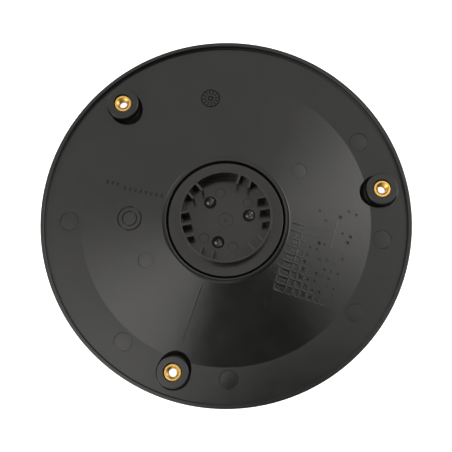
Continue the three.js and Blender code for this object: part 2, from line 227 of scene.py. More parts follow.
def on_surface(piece, radius, angle, turn=0.0, tilt=0.0):
    """Sets a small mark, made about the origin, on the deck or cone at a radius and angle."""
    slope = math.atan(CONE_SLOPE) if radius < CONE_FOOT_R else 0.0
    leaned = Matrix.Rotation(slope + tilt, 4, "Y")
    at = Matrix.Translation(polar(radius, angle, cone_z(radius)))
    return move(piece, at @ Matrix.Rotation(angle, 4, "Z") @ leaned @ Matrix.Rotation(turn, 4, "Z"))


def join(pieces):
    """One object from several; they shouldn't overlap."""
    whole = bmesh.new()
    for piece in pieces:
        whole.from_mesh(piece.data)
    whole.to_mesh(pieces[0].data)
    whole.free()
    for piece in pieces[1:]:
        bpy.data.objects.remove(piece)
    return pieces[0]


def bake(piece):
    """Turns a piece's modifiers into its own mesh."""
    graph = bpy.context.evaluated_depsgraph_get()
    result = bpy.data.meshes.new_from_object(piece.evaluated_get(graph))
    piece.modifiers.clear()
    piece.data = result
    return piece


def combine(piece, other, operation):
    """Boolean of two closed pieces; the second one is used up."""
    modifier = piece.modifiers.new("cut", "BOOLEAN")
    modifier.operation = operation
    modifier.solver = "MANIFOLD"
    modifier.object = other
    bake(piece)
    bpy.data.objects.remove(other)
    return piece


def cut(piece, *others):
    return combine(piece, join(list(others)), "DIFFERENCE")


def add(piece, *others):
    return combine(piece, join(list(others)), "UNION")


def smooth(piece):
    """Smooth shading with sharp edges kept, and flat faces ruling the shading beside a fillet."""
    sharpest = math.radians(32)
    mesh = piece.data
    for polygon in mesh.polygons:
        polygon.use_smooth = True
    mesh.set_sharp_from_angle(angle=sharpest)
    weights = piece.modifiers.new("weights", "WEIGHTED_NORMAL")
    weights.keep_sharp = True
    weights.weight = 100
    return bake(piece)


def finish_piece(piece, body, material, nodes):
    """Gives a finished piece its shading and material, the body it rides and what it replaces."""
    smooth(piece)
    piece.data.materials.clear()
    piece.data.materials.append(material)
    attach(piece, body)
    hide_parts(*nodes)
    return piece


# ---- Camera ------------------------------------------------------------------------------------
CAMERA_DISTANCE = 751.3
CAMERA_ELEVATION = math.radians(80.34)
CAMERA_AZIMUTH = math.radians(4.1)
CAMERA_LENS = 74.25
CAMERA_TARGET = Vector((0.18, -5.02, LIP_Z))


def make_camera():
    """Looks down on the disc from a little in front of it."""
    data = bpy.data.cameras.new("camera")
    data.lens = CAMERA_LENS
    data.sensor_width = 36
    data.clip_start = 0.01
    camera = bpy.data.objects.new("camera", data)
    bpy.context.scene.collection.objects.link(camera)
    back = Vector((
        math.sin(CAMERA_AZIMUTH) * math.cos(CAMERA_ELEVATION),
        -math.cos(CAMERA_AZIMUTH) * math.cos(CAMERA_ELEVATION),
        math.sin(CAMERA_ELEVATION),
    ))
    right = Vector((0, 1, 0)).cross(back).normalized()
    up = back.cross(right)
    pose = Matrix((right, up, back)).transposed().to_4x4()
    pose.translation = (CAMERA_TARGET + back * CAMERA_DISTANCE) * MM
    camera.matrix_world = pose
    bpy.context.scene.camera = camera


make_camera()


# ---- Materials ---------------------------------------------------------------------------------
def feed(tree, socket, value):
    """Links another node's output into a socket, or sets the socket's own value."""
    if isinstance(value, bpy.types.NodeSocket):
        tree.links.new(value, socket)
    else:
        socket.default_value = value


class Shader:
    """A node material with a Principled shader and textures in object millimetres."""

    def __init__(self, name):
        self.material = bpy.data.materials.new(name)
        self.material.use_nodes = True
        self.tree = self.material.node_tree
        self.bsdf = self.tree.nodes["Principled BSDF"]
        coordinates = self.tree.nodes.new("ShaderNodeTexCoord")
        self.place = self.node("ShaderNodeMapping", Vector=coordinates.outputs["Object"])
        self.place.inputs["Scale"].default_value = (1 / MM, 1 / MM, 1 / MM)
        self.normal = None

    def node(self, kind, settings=None, **inputs):
        made = self.tree.nodes.new(kind)
        for key, value in (settings or {}).items():
            setattr(made, key, value)
        for key, value in inputs.items():
            feed(self.tree, made.inputs[key.replace("_", " ")], value)
        return made

    def noise(self, scale, detail=3.0, roughness=0.5, stretch=None):
        where = self.place.outputs["Vector"]
        if stretch:
            stretched = self.node("ShaderNodeVectorMath", {"operation": "MULTIPLY"})
            feed(self.tree, stretched.inputs[0], where)
            feed(self.tree, stretched.inputs[1], stretch)
            where = stretched.outputs[0]
        return self.node("ShaderNodeTexNoise", Vector=where, Scale=scale, Detail=detail,
                         Roughness=roughness).outputs["Fac"]

    def spread(self, value, low, high, to_low, to_high):
        return self.node("ShaderNodeMapRange", Value=value, From_Min=low, From_Max=high,
                         To_Min=to_low, To_Max=to_high).outputs["Result"]

    def sum(self, first, second):
        made = self.node("ShaderNodeMath", {"operation": "ADD"})
        for socket, value in zip(made.inputs, (first, second)):
            feed(self.tree, socket, value)
        return made.outputs[0]

    def colours(self, factor, *stops):
        ramp = self.node("ShaderNodeValToRGB", Fac=factor)
        elements = ramp.color_ramp.elements
        while len(elements) < len(stops):
            elements.new(0.5)
        for element, (position, colour) in zip(elements, stops):
            element.position = position
            element.color = (*colour, 1)
        return ramp.outputs["Color"]

    def bump(self, height, strength, distance):
        made = self.node("ShaderNodeBump", Height=height, Strength=strength, Distance=distance)
        if self.normal:
            self.tree.links.new(self.normal, made.inputs["Normal"])
        self.normal = made.outputs["Normal"]

    def done(self, **inputs):
        for key, value in inputs.items():
            feed(self.tree, self.bsdf.inputs[key.replace("_", " ")], value)
        if self.normal:
            self.tree.links.new(self.normal, self.bsdf.inputs["Normal"])
        return self.material


def black_plastic(name, dark, light, roughness):
    """Black glass-filled moulding: fine satin grain, faint blotches, hairline rubs."""
    shader = Shader(name)
    blotches = shader.noise(0.035, 4.0, 0.6)
    grain = shader.noise(2.6, 2.0, 0.6)
    rubs = shader.noise(0.5, 5.0, 0.65, stretch=(0.12, 2.2, 1.0))
    colour = shader.colours(blotches, (0.3, dark), (0.72, light))
    worn = shader.spread(rubs, 0.62, 0.78, 0.0, 0.05)
    base = shader.spread(blotches, 0.3, 0.7, roughness - 0.02, roughness + 0.02)
    speckle = shader.spread(grain, 0.3, 0.7, -0.015, 0.015)
    shader.bump(grain, 0.12, 0.00001)
    shader.bump(shader.noise(0.05, 2.0, 0.5), 0.3, 0.0002)
    return shader.done(
        Base_Color=colour,
        Roughness=shader.sum(shader.sum(base, worn), speckle),
        IOR=1.5,
    )


def turned_brass(name):
    shader = Shader(name)
    tarnish = shader.noise(0.5, 4.0, 0.6)
    cutting = shader.noise(1.5, 3.0, 0.6, stretch=(0.3, 0.3, 9.0))
    shader.bump(cutting, 0.3, 0.00003)
    return shader.done(
        Base_Color=shader.colours(tarnish, (0.3, (0.60, 0.34, 0.07)), (0.7, (0.80, 0.51, 0.15))),
        Roughness=shader.spread(cutting, 0.3, 0.7, 0.22, 0.38),
        Metallic=1.0,
    )


def metal(name, dark, light, low, high, grain):
    shader = Shader(name)
    stains = shader.noise(0.12, 4.0, 0.6)
    lines = shader.noise(grain, 3.0, 0.6, stretch=(0.6, 0.6, 6.0))
    shader.bump(lines, 0.18, 0.00002)
    return shader.done(
        Base_Color=shader.colours(stains, (0.3, dark), (0.7, light)),
        Roughness=shader.spread(lines, 0.3, 0.7, low, high),
        Metallic=1.0,
    )


def dull(name, dark, light, roughness, grain):
    shader = Shader(name)
    mottle = shader.noise(0.3, 4.0, 0.6)
    fine = shader.noise(grain, 3.0, 0.6)
    shader.bump(fine, 0.3, 0.00004)
    return shader.done(
        Base_Color=shader.colours(mottle, (0.3, dark), (0.7, light)),
        Roughness=shader.spread(fine, 0.3, 0.7, roughness - 0.06, roughness + 0.06),
    )


DISC_PLASTIC = black_plastic("disc_plastic", (0.0082, 0.0083, 0.0082), (0.0112, 0.0110, 0.0105), 0.16)
HUB_PLASTIC = black_plastic("hub_plastic", (0.0130, 0.0120, 0.0106), (0.0185, 0.0170, 0.0148), 0.155)
BRASS = turned_brass("insert_brass")
RACE_STEEL = metal("bearing_steel", (0.50, 0.51, 0.52), (0.62, 0.63, 0.64), 0.16, 0.28, 2.0)
BALL_STEEL = metal("ball_steel", (0.68, 0.69, 0.70), (0.76, 0.77, 0.78), 0.05, 0.10, 1.0)
SPRING_STEEL = metal("spring_steel", (0.07, 0.07, 0.075), (0.12, 0.12, 0.125), 0.32, 0.46, 1.2)
PLATE_STEEL = metal("plate_steel", (0.44, 0.45, 0.46), (0.58, 0.59, 0.60), 0.26, 0.42, 1.0)
SCREW_STEEL = metal("screw_steel", (0.48, 0.48, 0.45), (0.62, 0.62, 0.60), 0.22, 0.36, 1.5)
CAGE_PLASTIC = dull("cage_plastic", (0.36, 0.26, 0.12), (0.46, 0.34, 0.17), 0.45, 1.5)
SEAL_RUBBER = dull("seal_rubber", (0.014, 0.014, 0.014), (0.022, 0.022, 0.022), 0.62, 2.0)


# ---- The disc ----------------------------------------------------------------------------------
def centres(name):
    """Where the three pieces of that name stand on the XY plane."""
    for number in (1, 2, 3):
        centre = middle(f"{name}_{number}")
        yield Vector((centre.x, centre.y, 0))


def disc_body():
    """The round body, from (r, z, fillet) corners."""
    rim_in = DISC_R - RIM_T
    stop_z = span("bearing_outer_race")[1] + GAP
    seat_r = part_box("bearing_outer_race")[1].x / MM + GAP
    clip_low, clip_high = span("retaining_ring")
    clip_r = seat_r + 2.3
    under_z = DECK_Z - WALL
    rim = [(rim_in + 0.4, 0, 0.3), (DISC_R, 0, 0.9), (DISC_R, LIP_Z, 0.35), (rim_in, LIP_Z, 0.6)]
    deck_and_cone = [(rim_in, DECK_Z, 0.4), (CONE_FOOT_R, DECK_Z, 4)]
    collar = [
        (51.4, CONE_TOP_Z + 0.15, 2.2), (COLLAR_R_OUT, CONE_TOP_Z + 1.7, 1.2),
        (COLLAR_R_OUT, COLLAR_Z, 0.35), (COLLAR_R_IN, COLLAR_Z, 0.25), (COLLAR_R_IN, stop_z + 5.2, 0.4),
    ]
    bearing_seat = [(SHOULDER_R, stop_z + 0.9, 0.2), (SHOULDER_R, stop_z, 0.1), (seat_r, stop_z)]
    clip_groove = [
        (seat_r, clip_high + GAP), (clip_r, clip_high + GAP),
        (clip_r, clip_low - GAP), (seat_r, clip_low - GAP),
    ]
    housing = [
        (seat_r, HOUSING_LOW_Z, 0.5), (HOUSING_R, HOUSING_LOW_Z, 0.6),
        (HOUSING_R, cone_z(HOUSING_R) - WALL, 3.5),
    ]
    under_side = [(CONE_FOOT_R, under_z, 4), (rim_in, under_z, 3.2)]
    outline = rim + deck_and_cone + collar + bearing_seat + clip_groove + housing + under_side
    return revolve("disc_shell_moulding", rounded(outline), FINE)


def stiffener(angle):
    """One radial rib under the deck, drafted to a thinner lower edge."""
    inner, outer = HOUSING_R - 0.8, DISC_R - RIM_T + 0.8
    low = 9.5
    root = 0.5 - WALL       # from the upper side down to the rib's root inside the wall
    outline = [(inner, low), (outer, low), (outer, DECK_Z + root), (CONE_FOOT_R, DECK_Z + root),
               (inner, cone_z(inner) + root)]
    thin, draft = 0.9, 0.5 / 11
    vertices = []
    for side in (-1, 1):
        for r, z in outline:
            vertices.append((r, side * (thin + draft * (z - low)), z))
    count = len(outline)
    faces = [list(range(count)), list(reversed(range(count, 2 * count)))]
    for i in range(count):
        n = (i + 1) % count
        faces.append([n, i, count + i, count + n])
    return placed(new_object("stiffener", vertices, faces), (0, 0, 0), angle)


def pocket(centre):
    """The shallow round clearing in the deck, out to the foot of the cone."""
    nearest, farthest = CONE_FOOT_R + 0.4, DISC_R - RIM_T - 1.2
    outline = []
    for k in range(ROUND):
        spot = centre + polar(POCKET_R, 2 * math.pi * k / ROUND)
        spot = spot.normalized() * min(farthest, max(nearest, spot.length))
        outline.append((spot.x, spot.y))
    return prism("pocket", outline, DECK_Z - POCKET_DEPTH, BOSS_Z)


def groove(centre):
    """The crescent-shaped sink between a boss and the cone, deepest toward the hub."""
    low, high = DECK_Z - GROOVE_DEPTH, DECK_Z + 0.6
    inner, outer = 10.4, 15.0
    toward_hub = 3.0
    steps = 12
    profile = [(0, low)]
    for k in range(steps + 1):
        t = k / steps
        ease = t * t * (3 - 2 * t)
        profile.append((inner + (outer - inner) * t, low + (high - low) * ease))
    profile += [(outer, BOSS_Z), (0, BOSS_Z)]
    return placed(revolve("groove", profile, ROUND), centre - centre.normalized() * toward_hub)


def boss(centre):
    """Round boss, reaching a little below the wall that it stands on."""
    low = 12
    profile = rounded([
        (0, low), (BOSS_R - 0.2, low, 0.6), (BOSS_R, DECK_Z - GROOVE_DEPTH, 0.5),
        (BOSS_R - 0.15, BOSS_Z, 0.85), (0, BOSS_Z),
    ], FINE_STEP)
    return placed(revolve("boss", profile, ROUND), centre)


def boss_foot(centre):
    """Fillet at the foot of a boss, on the deck."""
    fillet = 2.8
    wall_r, foot_r = BOSS_R - 0.1, BOSS_R + fillet
    floor_z = DECK_Z - POCKET_DEPTH
    low, high = DECK_Z - 2, DECK_Z + 4
    profile = rounded([
        (0, low), (foot_r, low), (foot_r, floor_z), (wall_r, floor_z, fillet), (wall_r, high), (0, high),
    ], FINE_STEP)
    return placed(revolve("boss_foot", profile, ROUND), centre)


def insert_hole(centre):
    """Stepped hole for the insert; its mouth is a little off centre, away from the hub."""
    insert_low = span("threaded_insert_1")[0] - GAP
    drill_r, mouth_r, chamfer_r = 5.5, 7.25, 7.6
    drill_low, clear_z = 8, BOSS_Z + 0.4
    upper = [(0, insert_low), (mouth_r, insert_low), (mouth_r, BOSS_Z - 0.3),
             (chamfer_r, BOSS_Z + 0.05), (chamfer_r, clear_z), (0, clear_z)]
    off_centre = Vector((-0.25, 0.3, 0))
    mouth = placed(revolve("insert_hole", upper, ROUND), centre + off_centre)
    drilled = placed(rod("through_hole", drill_r, drill_low, insert_low + 1, SMALL), centre)
    return add(drilled, mouth)


def round_mark(radius, depth):
    """Cutter for a shallow disc left by an ejector pin, a little domed in the middle."""
    clear = 0.1
    return revolve("round_mark", [
        (0, -depth * 0.7), (radius - 3 * depth, -depth), (radius - depth, -depth),
        (radius + clear, clear), (0, clear),
    ], TINY)


def bar(length, width, low, high, draft=0.06):
    """Small raised or cut block along X, narrower at its top by the draft on each side."""
    vertices = []
    for z, inset in ((low, 0.0), (high, draft)):
        x, y = length / 2 - inset, width / 2 - inset
        vertices += [(-x, -y, z), (x, -y, z), (x, y, z), (-x, y, z)]
    faces = [[3, 2, 1, 0], [4, 5, 6, 7], [0, 1, 5, 4], [1, 2, 6, 5], [2, 3, 7, 6], [3, 0, 4, 7]]
    return new_object("bar", vertices, faces)


def ridge(length, width, height):
    """Raised line with sloping sides and a narrow crest, along X."""
    run = 0.4 * width / height
    spread = 2 * MARK_FOOT * run
    return bar(length + spread, width + spread, -MARK_FOOT, height, draft=run * (height + MARK_FOOT))


def ring_ridge(radius, width, height):
    """Raised ring with sloping sides that meet in a crest."""
    foot = width / 2 * (1 + MARK_FOOT / height)
    return revolve("ring_ridge", [
        (radius - foot, -MARK_FOOT), (radius + foot, -MARK_FOOT), (radius, height),
    ], segments=72)


def ejector_marks():
    """Ejector-pin marks: six on the deck and three on the cone, each a little tilted."""
    deck_mark_r, deck_mark_place = 7.6, 127.2
    cone_mark_r, cone_mark_place = 6.4, 72
    cutters = []
    for degrees in (31, 180, 230, 271, 324, 353):
        mark = round_mark(deck_mark_r, 0.42)
        tilt = math.radians(rng.uniform(0.6, 1.1))
        cutters.append(on_surface(mark, deck_mark_place, math.radians(degrees), tilt=tilt))
    for degrees in (34, 207, 291):
        mark = round_mark(cone_mark_r, 0.32)
        cutters.append(on_surface(mark, cone_mark_place, math.radians(degrees), tilt=math.radians(0.5)))
    return cutters


def date_dial():
    """A round stamp with plain ticks, on the outer part of the cone."""
    radius, angle = 103.8, math.radians(97)
    clear = 0.3
    ticks, tick_place = 12, 5.1
    cutters = []
    for inner, outer in ((7.0, 7.9), (1.2, 2.4)):
        channel = revolve("dial_ring", [
            ((inner + outer) / 2, -0.6), (outer, 0), (outer, clear), (inner, clear), (inner, 0),
        ], SMALL)
        cutters.append(on_surface(channel, radius, angle))
    for k in range(ticks):
        tick = bar(2.4, 0.15, -0.55, clear, draft=-0.6)
        move(tick, Matrix.Translation((tick_place, 0, 0)))
        cutters.append(on_surface(tick, radius, angle, turn=2 * math.pi * k / ticks))
    return cutters


def lay(piece, x, y, heading):
    """Lays a small mark on the deck or cone at (x, y), its X side along the heading in degrees."""
    angle = math.atan2(y, x)
    return on_surface(piece, math.hypot(x, y), angle, turn=math.radians(heading) - angle)


def dimple(radius, depth):
    """Cutter for a small round pit."""
    clear = 0.3
    return revolve("dimple", [
        (0, -depth), (radius * 0.55, -depth * 0.9), (radius * 0.85, -depth * 0.5), (radius, 0.02),
        (radius, clear), (0, clear),
    ], segments=24)


def tally_table():
    """A plain moulded tally table on the cone: raised lines, and dimples in some of its cells."""
    lean = -17.5                        # degrees from the X axis
    corner = Vector((37.5, -56.4))
    along = Matrix.Rotation(math.radians(lean), 2) @ Vector((1, 0))
    up = Matrix.Rotation(math.radians(90), 2) @ along
    rows, columns = 13, 10
    wide, cell, high = 9.4, 5.7, 6.3    # first column's width, the others' width, a row's height
    line, stroke_width, height = 1.0, 0.9, 0.12
    space = 1.3                         # gap left between the lines of neighbouring cells
    nearest, farthest = 57, CONE_FOOT_R - 2
    edges = [0] + [wide + cell * k for k in range(columns)]
    raised = []
    dimples = []

    def mark(shape, u, v, heading, store):
        """Stores a shape at a place in the table, or drops it where the table leaves the cone."""
        spot = corner + along * u + up * v
        if nearest < spot.length < farthest:
            store.append(lay(shape, spot.x, spot.y, lean + heading))
        else:
            bpy.data.objects.remove(shape)

    for row in range(rows):
        mid_row = (row + 0.5) * high
        for k, (left, right) in enumerate(zip(edges, edges[1:])):
            mid_cell = (left + right) / 2
            if row * 0.5 + k < 5 or row == 0 and k < 7:
                mark(ridge(right - left - space, line, height), mid_cell, row * high, 0, raised)
                mark(ridge(high - space, line, height), left, mid_row, 90, raised)
            if k == 0 and row < 9:
                for place in (-1.9, 0.0, 1.9):
                    stroke = ridge(rng.uniform(1.6, 2.6), stroke_width, height)
                    mark(stroke, mid_cell + place, mid_row, 90, raised)
            crowded = 1 <= row <= 7 and k <= 6
            if 2 <= k <= 7 and rng.random() < (0.68 if crowded else 0.25):
                size = rng.uniform(0.8, 1.4)
                u = mid_cell + rng.uniform(-0.7, 0.7)
                depth = size * rng.uniform(0.35, 1.0)
                v = mid_row + rng.uniform(-0.8, 0.8)
                mark(dimple(size, depth), u, v, 0, dimples)
    for k in range(4):
        mark(ridge(5.0, stroke_width, height), 33.5 + 0.2 * k, 66 - 6.2 * k, 92, raised)
    return raised, dimples


def plain_marks():
    """Generic moulded marks: a double ring, rows of short strokes and two hairline ridges."""
    badge_x, badge_y = -78, 1.6
    tall, low, hairline = 0.42, 0.16, 0.1
    raised = [
        lay(ring_ridge(9.6, 1.0, tall), badge_x, badge_y, 0),
        lay(ring_ridge(5.8, 0.9, 0.38), badge_x, badge_y, 0),
    ]
    for k in range(3):
        raised.append(lay(ridge(2.7, 1.3, tall), -96.5 + 4.1 * k, 32.5 - 1.1 * k, 71))
    for k in range(8):
        raised.append(lay(ridge(3.0, 1.4, tall), -82 + 4.3 * k, 26.8 - 1.0 * k, 74))
    for row in range(4):
        for k in range(5):
            x = 14 + 8.6 * k + rng.uniform(-1, 1)
            y = 92 - 6.4 * row - 1.9 * k
            raised.append(lay(ridge(rng.uniform(2.5, 5.5), 0.9, low), x, y, -14))
    for degrees, radius, length in ((130, 70.5, 17), (250, 65.5, 15)):
        raised.append(on_surface(ridge(length, 0.8, hairline), radius, math.radians(degrees)))
    return raised


def disc_shell():
    shell = disc_body()
    pitch = 2 * math.pi / STIFFENERS
    add(shell, *[stiffener(FIRST_BOSS + pitch * i) for i in range(STIFFENERS)])
    for centre in centres("threaded_insert"):
        cut(shell, pocket(centre))
        add(shell, boss_foot(centre))
        cut(shell, groove(centre))
        add(shell, boss(centre))
        cut(shell, insert_hole(centre))
    for cutter in ejector_marks() + date_dial():
        cut(shell, cutter)
    raised, dimples = tally_table()
    for piece in plain_marks() + raised:
        add(shell, piece)
    for piece in dimples:
        cut(shell, piece)
    replaced = [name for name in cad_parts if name.startswith("disc_")]
    return finish_piece(shell, "disc", DISC_PLASTIC, replaced)


disc_shell()


# ---- Threaded inserts --------------------------------------------------------------------------
def thread_wave(z, angle, pitch):
    """1 in the middle of a thread's groove or crest, falling to 0 half a pitch away."""
    phase = (z / pitch - angle / (2 * math.pi)) % 1
    return 1 - abs(2 * phase - 1)


def threaded_insert(number, centre):
    """Brass bush with two knurled bands outside and an M8 thread inside."""
    node = f"threaded_insert_{number}"
    bottom, top = span(node)
    outer = 6.6
    waist = outer - 0.7
    crest, root, pitch = 3.35, 4.05, 1.25
    knurls, knurl_depth = 32, 0.16
    waist_low, waist_high = bottom + 3.9, bottom + 5.6
    thread_top, thread_length = top - 0.95, top - bottom - 1.6
    profile = rounded([
        (crest + 0.9, bottom, 0), (outer, bottom, 0.35), (outer, waist_low, 0.15),
        (waist, waist_low, 0.15), (waist, waist_high, 0.15), (outer, waist_high, 0.15),
        (outer, top, 0.2), (5.0, top, 0.15),
    ])
    steps = 8 * int(thread_length / pitch)
    for k in range(steps + 1):
        profile.append((crest, thread_top - thread_length * k / steps))

    def relief(r, z, angle):
        on_band = waist_high < z < top - 0.5 or bottom + 0.5 < z < waist_low
        if r > outer - 0.4 and on_band:
            return r - knurl_depth * (0.5 + 0.5 * math.cos(angle * knurls))
        if abs(r - crest) < 0.01:
            wave = thread_wave(z, angle, pitch)
            return crest + (root - crest) * min(1.0, max(0.0, wave * 1.5 - 0.25))
        return r

    bush = revolve(f"brass_bush_{number}", profile, ROUND, relief)
    placed(bush, centre)
    finish_piece(bush, "disc", BRASS, [node])


for number, spot in enumerate(centres("threaded_insert"), 1):
    threaded_insert(number, spot)


# ---- Bearing and what holds it -----------------------------------------------------------------
def race(node, name, wall_r, back_r, side):
    """One race with its ball groove; side is 1 for the outer race and -1 for the inner one."""
    low, high = span(node)
    mid = (low + high) / 2
    groove_r = 3.1
    half = math.acos(abs(wall_r - BALL_PITCH_R) / groove_r)
    steps = 12
    channel = []
    for k in range(steps + 1):
        t = half * (2 * k / steps - 1) * -side
        channel.append((BALL_PITCH_R + side * groove_r * math.cos(t), mid + groove_r * math.sin(t)))
    if side > 0:
        back = rounded([(back_r, low, 0.5), (back_r, high, 0.5), (wall_r, high, 0.2)])[:-1]
        profile = [(wall_r, low)] + back + [(wall_r, high)] + channel
    else:
        profile = [(back_r, low), (wall_r, low)] + channel + [(wall_r, high), (back_r, high)]
    return revolve(name, profile, MEDIUM)


def seal_ring(level):
    """One seal between the races, with a shallow channel in its outward face."""
    node = f"bearing_shield_{level}"
    low, high = span(node)
    channel_z = high - 0.2
    corners = [
        (43.5, low, 0.1), (46.5, low, 0.1), (46.5, high, 0.1), (46.0, high, 0.1),
        (45.8, channel_z, 0), (44.2, channel_z, 0), (44.0, high, 0.1), (43.5, high, 0.1),
    ]
    if level == "lower":
        corners = [(r, low + high - z, fillet) for r, z, fillet in reversed(corners)]
    ring = revolve(f"{level}_seal_ring", rounded(corners), MEDIUM)
    finish_piece(ring, "disc", SEAL_RUBBER, [node])


def bearing():
    outer = race("bearing_outer_race", "outer_race_ring", 46.8, 50, 1)
    finish_piece(outer, "disc", RACE_STEEL, ["bearing_outer_race"])
    inner = race("bearing_inner_race", "inner_race_ring", 43.2, 40, -1)
    finish_piece(inner, "hub", RACE_STEEL, ["bearing_inner_race"])
    for level in ("upper", "lower"):
        seal_ring(level)


bearing()


def ball(name, centre):
    steps = 24
    profile = []
    for k in range(steps + 1):
        t = math.pi * (k / steps - 0.5)
        on_axis = k in (0, steps)
        profile.append((0 if on_axis else BALL_R * math.cos(t), BALL_R * math.sin(t)))
    return placed(revolve(name, profile, segments=40), centre)


def balls_and_cage():
    """Sixteen balls, and the plain band that keeps them apart."""
    low, high = span("bearing_cage")
    inner, outer = 44, 46
    pocket_r, pocket_reach = 3.2, 3
    cage = revolve("cage_band", rounded([
        (inner, low, 0.3), (outer, low, 0.3), (outer, high, 0.3), (inner, high, 0.3),
    ]), MEDIUM)
    pockets = []
    names = [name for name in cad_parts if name.startswith("bearing_ball_")]
    for name in sorted(names):
        centre = middle(name)
        angle = math.atan2(centre.y, centre.x)
        hole = rod("pocket", pocket_r, -pocket_reach, pocket_reach, segments=32)
        move(hole, Matrix.Rotation(math.pi / 2, 4, "Y"))
        pockets.append(placed(hole, polar(BALL_PITCH_R, angle, (low + high) / 2), angle))
        piece = ball(name.replace("bearing_ball", "ball"), centre)
        finish_piece(piece, "cage", BALL_STEEL, [name])
    cut(cage, *pockets)
    finish_piece(cage, "cage", CAGE_PLASTIC, ["bearing_cage"])


balls_and_cage()


def retaining_ring():
    """Internal spring ring with two eared ends."""
    low, high = span("retaining_ring")
    half_gap = math.radians(11)
    sweep = 2 * math.pi - 2 * half_gap
    inner, outer = 47.4, 52.2
    ear_r, eye_r = 3, 1.25
    ear_place, ear_turn = 46.6, half_gap + 0.07
    steps = 160
    outline = []
    for radius, start, turn in ((outer, half_gap, sweep), (inner, 2 * math.pi - half_gap, -sweep)):
        for k in range(steps + 1):
            t = start + turn * k / steps
            outline.append((radius * math.cos(t), radius * math.sin(t)))
    ring = prism("spring_ring", outline, low, high)
    eyes = []
    for side in (-1, 1):
        at = polar(ear_place, side * ear_turn)
        add(ring, placed(rod("ear", ear_r, low, high, segments=40), at))
        eyes.append(placed(rod("eye", eye_r, low - 1, high + 1, segments=24), at))
    cut(ring, *eyes)
    finish_piece(ring, "disc", SPRING_STEEL, ["retaining_ring"])


retaining_ring()


# ---- Hub ---------------------------------------------------------------------------------------
def hub_body():
    """Cup, flange and skirt in one, from (r, z, fillet) corners."""
    floor_low = FLOOR_Z - FLOOR_T
    flange_low = FLANGE_Z - 2.2
    race_top = span("bearing_inner_race")[1] + GAP
    skirt_low = span("hub_cup")[0]
    skirt_in, skirt_out, shoulder = 36.3, 39.7, 42
    under_side = [
        (0, floor_low), (skirt_in, floor_low, 1.2), (skirt_in, skirt_low, 0.3),
        (skirt_out, skirt_low, 0.6), (skirt_out, race_top), (shoulder, race_top, 0.3),
    ]
    flange = [
        (shoulder, flange_low, 0.4), (FLANGE_R, flange_low, 0.3), (FLANGE_R, FLANGE_Z, 0.5),
        (TUBE_R_OUT, FLANGE_Z, 0.4),
    ]
    cup = [
        (TUBE_R_OUT, HUB_TOP_Z, 0.25), (TUBE_R_IN, HUB_TOP_Z, 0.3), (TUBE_R_IN, FLOOR_Z, 0.25),
        (0, FLOOR_Z),
    ]
    return revolve("hub_moulding", rounded(under_side + flange + cup), MEDIUM)


def cup_rib(turn, place):
    """One upright rib: square to its group's direction, with softened top and inner edges."""
    offset = place * RIB_SPACING
    outer = math.sqrt(((TUBE_R_OUT + TUBE_R_IN) / 2) ** 2 - offset ** 2)
    low, high = FLOOR_Z - 1, HUB_TOP_Z - 0.3
    near = 0.1
    grid = bmesh.new()
    bmesh.ops.create_cube(grid, size=1)
    bmesh.ops.scale(grid, vec=(outer - RIB_R_IN, RIB_T, high - low), verts=grid.verts)
    bmesh.ops.translate(grid, vec=((outer + RIB_R_IN) / 2, offset, (low + high) / 2), verts=grid.verts)
    soft = []
    for edge in grid.edges:
        on_top = min(v.co.z for v in edge.verts) > high - near
        on_inner_face = max(v.co.x for v in edge.verts) < RIB_R_IN + near
        if on_top or on_inner_face:
            soft.append(edge)
    bmesh.ops.bevel(grid, geom=soft, offset=0.4, segments=3, profile=0.5, affect="EDGES")
    bmesh.ops.scale(grid, vec=(MM, MM, MM), verts=grid.verts)
    mesh = bpy.data.meshes.new("cup_rib")
    grid.to_mesh(mesh)
    grid.free()
    rib = bpy.data.objects.new("cup_rib", mesh)
    bpy.context.scene.collection.objects.link(rib)
    return placed(rib, (0, 0, 0), FIRST_BOSS + turn)


def well():
    """Cutter for a round well in the cup floor: part of a ball, steepest at its edge."""
    steepest = math.radians(45)
    curve = WELL_R / math.sin(steepest)
    centre_z = FLOOR_Z - 0.25 + curve * math.cos(steepest)
    mouth_r, clear_z = WELL_R + 0.3, FLOOR_Z + 0.3
    steps = 12
    bowl = [(0, centre_z - curve)]
    for k in range(1, steps + 1):
        turn = steepest * k / steps
        bowl.append((curve * math.sin(turn), centre_z - curve * math.cos(turn)))
    bowl += [(mouth_r, FLOOR_Z + 0.02), (mouth_r, clear_z), (0, clear_z)]
    return revolve("well", bowl, SMALL)


def stub(name, radius, low, fillet):
    """Round stub that hangs from the cup floor, down to a height."""
    root = FLOOR_Z - 2.6
    return revolve(name, rounded([
        (0, low), (radius, low, fillet), (radius, root), (0, root),
    ]), TINY)


